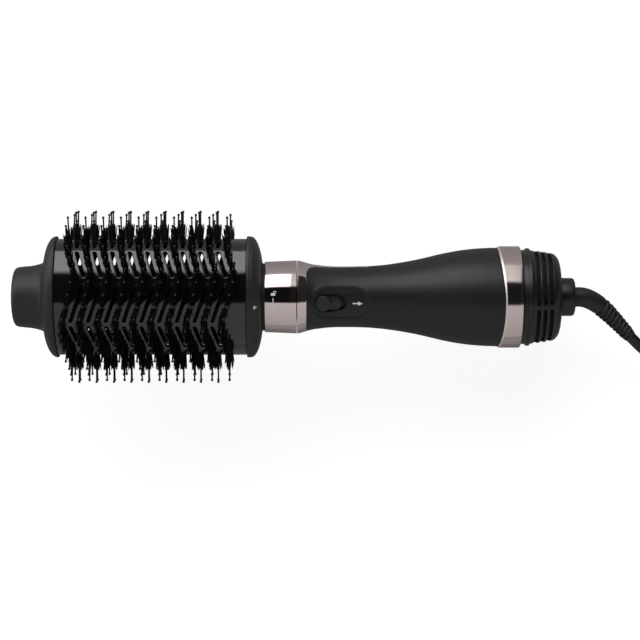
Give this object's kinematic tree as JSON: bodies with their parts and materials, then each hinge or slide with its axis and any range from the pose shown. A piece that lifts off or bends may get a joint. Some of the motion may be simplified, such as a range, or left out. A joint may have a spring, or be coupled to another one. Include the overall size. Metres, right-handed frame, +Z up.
{
  "type": "hot air brush",
  "caption": "Oval hot air brush with a vented, bristled head that twists and pulls off a waisted handle, a sliding release, an air-inlet control dial and a swivelling cord.",
  "frame": {"origin": "centre of the brush's footprint on the surface it lies on, without the cord", "axes": "+X along the brush from the cool tip towards the cord, +Z up with the release button on top, +Y across; the tool's own axis slopes down towards the cord by about 4.5 degrees"},
  "size_m": [0.5597, 0.1086, 0.0941],
  "materials": {
    "soft_black_cap": "soft-touch matt",
    "gloss_barrel": "high gloss ceramic-type coating",
    "charcoal_plastic": "satin",
    "aluminium": "mill",
    "steel": "plain",
    "nylon_pins": "satin nylon",
    "bristle_tufts": "tufted nylon hair",
    "black_rubber": "matt",
    "rose_chrome": "rose-tinted mirror chrome",
    "heatproof_plastic": "glass-filled nylon",
    "soft_touch_shell": "soft-touch matt",
    "button_plastic": "satin",
    "mica": "mica sheet",
    "heater_wire": "oxidised resistance wire",
    "brass": "plain",
    "ferrite": "matt ferrite",
    "circuit_board": "solder mask",
    "dial_plastic": "satin",
    "cord_rubber": "satin PVC",
    "plug_plastic": "satin",
    "reset_plastic": "satin"
  },
  "bodies": {
    "handle": {"neck_seal": "black_rubber", "neck_ring": "rose_chrome", "neck_trim": "rose_chrome", "spigot": "heatproof_plastic", "front_shell": "soft_touch_shell", "back_shell": "soft_touch_shell", "button_spring": "steel", "mica_tube": "mica", "mica_boards": "mica", "heater_coils": "heater_wire", "thermal_cutout": "brass", "thermal_fuse": "steel", "motor_can": "steel", "motor_magnets": "ferrite", "motor_mount": "charcoal_plastic", "fan_shroud": "charcoal_plastic", "shell_screws": "steel", "rear_band": "rose_chrome", "tail_frame": "charcoal_plastic", "switch_board": "circuit_board", "hub_clip": "steel"},
    "locking_ring": {"locking_ring": "steel"},
    "brush_head": {"cool_tip": "soft_black_cap", "barrel": "gloss_barrel", "barrel_collar": "charcoal_plastic", "diffuser_tube": "aluminium", "collar_screws": "steel", "ring_clip": "steel", "pins_rear_column": "nylon_pins", "pins_front_column": "nylon_pins", "pins_top": "nylon_pins", "pins_bottom": "nylon_pins", "pins_sides": "nylon_pins", "tufts_top": "bristle_tufts", "tufts_bottom": "bristle_tufts", "tufts_sides": "bristle_tufts"},
    "release_button": {"release_button": "button_plastic"},
    "fan": {"motor_rotor": "steel", "impeller": "charcoal_plastic"},
    "control_dial": {"control_dial": "dial_plastic", "contact_ring": "charcoal_plastic", "wipers": "brass", "inlet_filter": "steel"},
    "cord": {"swivel_hub": "dial_plastic", "inner_cord": "cord_rubber", "strain_relief": "cord_rubber", "cord_lead": "cord_rubber", "cord_coil": "cord_rubber", "plug_lead": "cord_rubber", "plug_body": "plug_plastic", "plug_blades": "brass"},
    "test_button": {"test_button": "button_plastic"},
    "reset_button": {"reset_button": "reset_plastic"}
  },
  "joints": [
    {"name": "head_pull", "type": "slide", "parent": "handle", "child": "locking_ring", "axis": [-0.997, 0, 0.0776], "range_m": [0, 0.05]},
    {"name": "head_twist", "type": "hinge", "parent": "locking_ring", "child": "brush_head", "pos_m": [-0.1656, 0, 0.05328], "axis": [-0.997, 0, 0.0776], "range_deg": [0, 26]},
    {"name": "release_button", "type": "slide", "parent": "handle", "child": "release_button", "axis": [0.997, 0, -0.0776], "range_m": [0, 0.006], "stiffness_N_per_m": 300, "springref_m": -0.002, "deforming": ["button_spring"]},
    {"name": "control_dial", "type": "hinge", "parent": "handle", "child": "control_dial", "pos_m": [-0.1656, 0, 0.05328], "axis": [0.997, 0, -0.0776], "range_deg": [0, 90]},
    {"name": "fan_spin", "type": "hinge", "parent": "handle", "child": "fan", "pos_m": [-0.1656, 0, 0.05328], "axis": [0.997, 0, -0.0776], "continuous": true},
    {"name": "cord_swivel", "type": "hinge", "parent": "handle", "child": "cord", "pos_m": [-0.1656, 0, 0.05328], "axis": [0.997, 0, -0.0776], "continuous": true},
    {"name": "test_button", "type": "slide", "parent": "cord", "child": "test_button", "axis": [0, 0, -1], "range_m": [0, 0.0012], "stiffness_N_per_m": 800, "springref_m": -0.0005},
    {"name": "reset_button", "type": "slide", "parent": "cord", "child": "reset_button", "axis": [0, 0, -1], "range_m": [0, 0.0012], "stiffness_N_per_m": 800, "springref_m": -0.0005}
  ]
}
